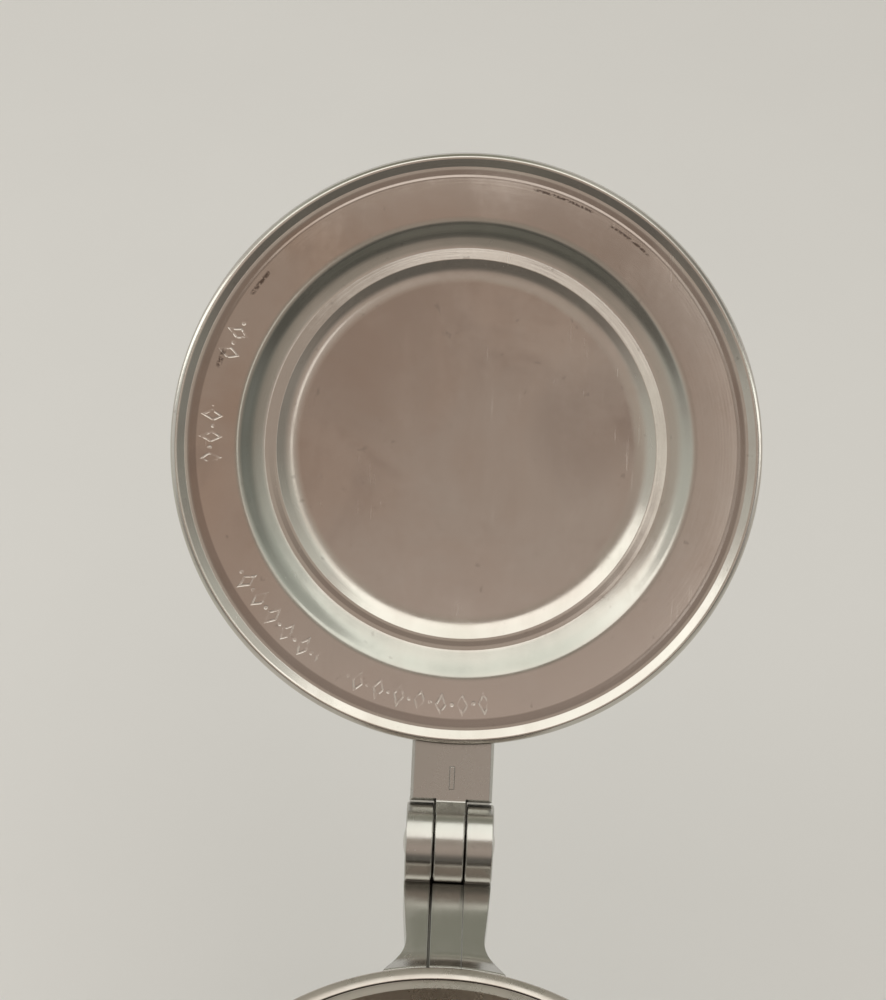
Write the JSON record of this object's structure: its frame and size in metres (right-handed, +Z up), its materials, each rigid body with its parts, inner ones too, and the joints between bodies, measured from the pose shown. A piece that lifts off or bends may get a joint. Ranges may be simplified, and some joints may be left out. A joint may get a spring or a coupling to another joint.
{
  "type": "lidded tankard",
  "caption": "Pewter drinking tankard with a tapered drum, moulded foot and lip, cast scroll handle, and a stepped round lid that hinges open over the handle by a fluted thumbpiece.",
  "frame": {"origin": "centre of the foot ring on the surface the tankard stands on", "axes": "+Z up, +Y from the drum to the handle and hinge, +X along the hinge pin"},
  "size_m": [0.114, 0.2123, 0.2284],
  "materials": {
    "pewter_body": "turned and hand polished, softly scratched",
    "pewter_cast": "cast, filed and polished",
    "pewter_lid": "turned and polished, with warm smudges",
    "pin_metal": "peened ends"
  },
  "bodies": {
    "mug": {"drum": "pewter_body", "lip_band": "pewter_cast", "foot_ring": "pewter_cast", "floor_plate": "pewter_body", "bracket_core": "pewter_cast", "bracket_cheek_left": "pewter_cast", "bracket_cheek_right": "pewter_cast", "hinge_pin": "pin_metal", "handle": "pewter_cast", "handle_strut": "pewter_cast"},
    "lid": {"lid": "pewter_lid", "lid_strap": "pewter_cast", "thumbpiece": "pewter_cast"}
  },
  "joints": [
    {"name": "lid_hinge", "type": "hinge", "parent": "mug", "child": "lid", "pos_m": [0, 0.0696, 0.1405], "axis": [1, 0, 0], "range_deg": [0, 135]}
  ]
}
